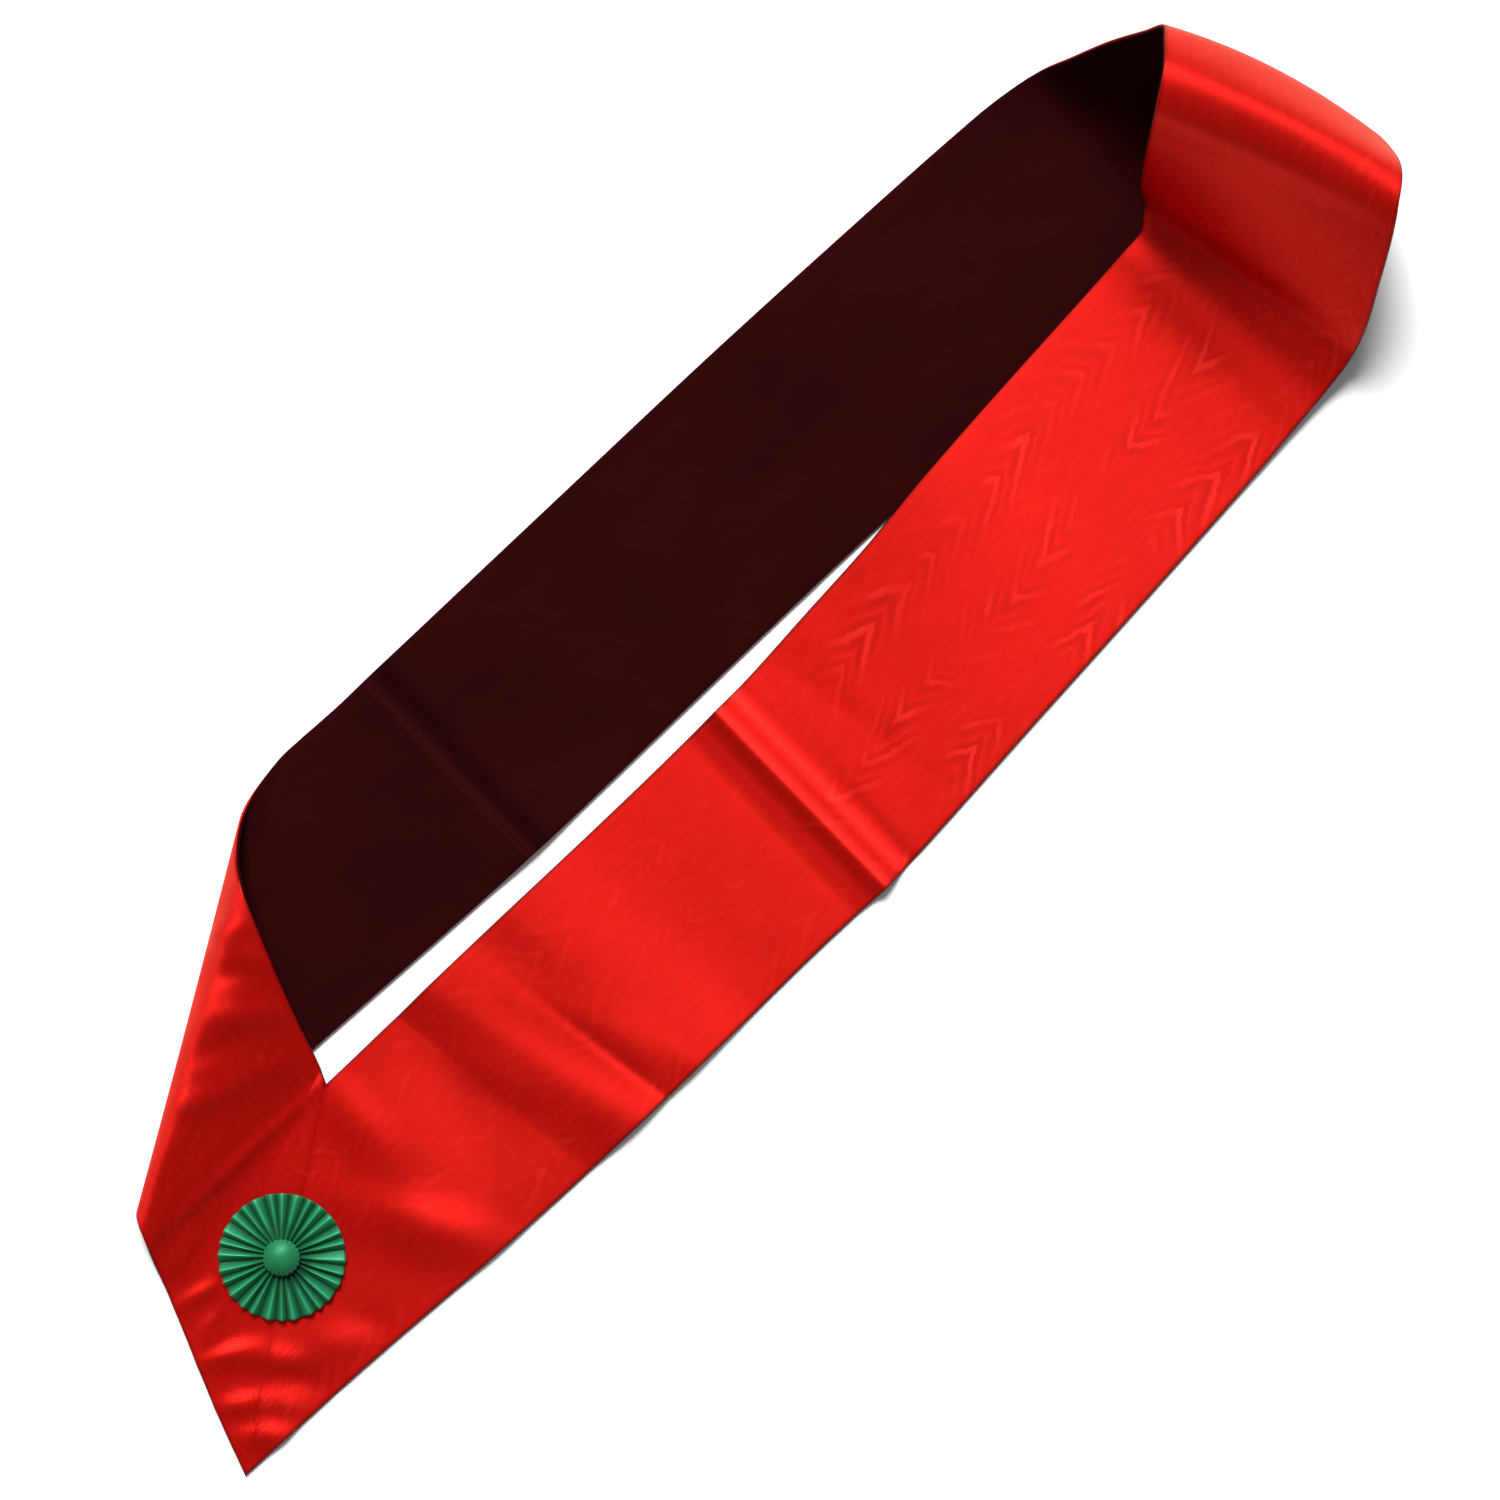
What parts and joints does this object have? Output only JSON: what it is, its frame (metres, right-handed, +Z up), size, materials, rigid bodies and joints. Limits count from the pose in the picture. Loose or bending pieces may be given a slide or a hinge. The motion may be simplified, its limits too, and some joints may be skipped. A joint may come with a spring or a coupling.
{
  "type": "masonic sash",
  "caption": "Watered silk shoulder sash laid in a flattened loop, dark lining behind, ends joined in a mitred point under a pleated rosette.",
  "frame": {"origin": "on the surface the sash lies on, under the middle of its bounding box", "axes": "+X from the point with the rosette towards the raised roll, along the front band; +Y from the front band to the lined back band; +Z up from the surface"},
  "size_m": [0.7786, 0.232, 0.1038],
  "materials": {
    "red_moire_silk": "red watered silk with a soft sheen",
    "dark_lining": "matt, very dark maroon lining",
    "green_ribbon": "green pleated silk ribbon with a satin sheen",
    "green_button_cloth": "green silk stretched over a button"
  },
  "bodies": {
    "root": {"silk_front": "red_moire_silk", "silk_lap": "red_moire_silk", "silk_roll": "red_moire_silk", "silk_back": "red_moire_silk", "silk_turn": "red_moire_silk", "lining_front": "dark_lining", "lining_lap": "dark_lining", "lining_roll": "dark_lining", "lining_back": "dark_lining", "lining_turn": "dark_lining", "rosette_pleats": "green_ribbon", "rosette_button": "green_button_cloth"}
  },
  "joints": []
}
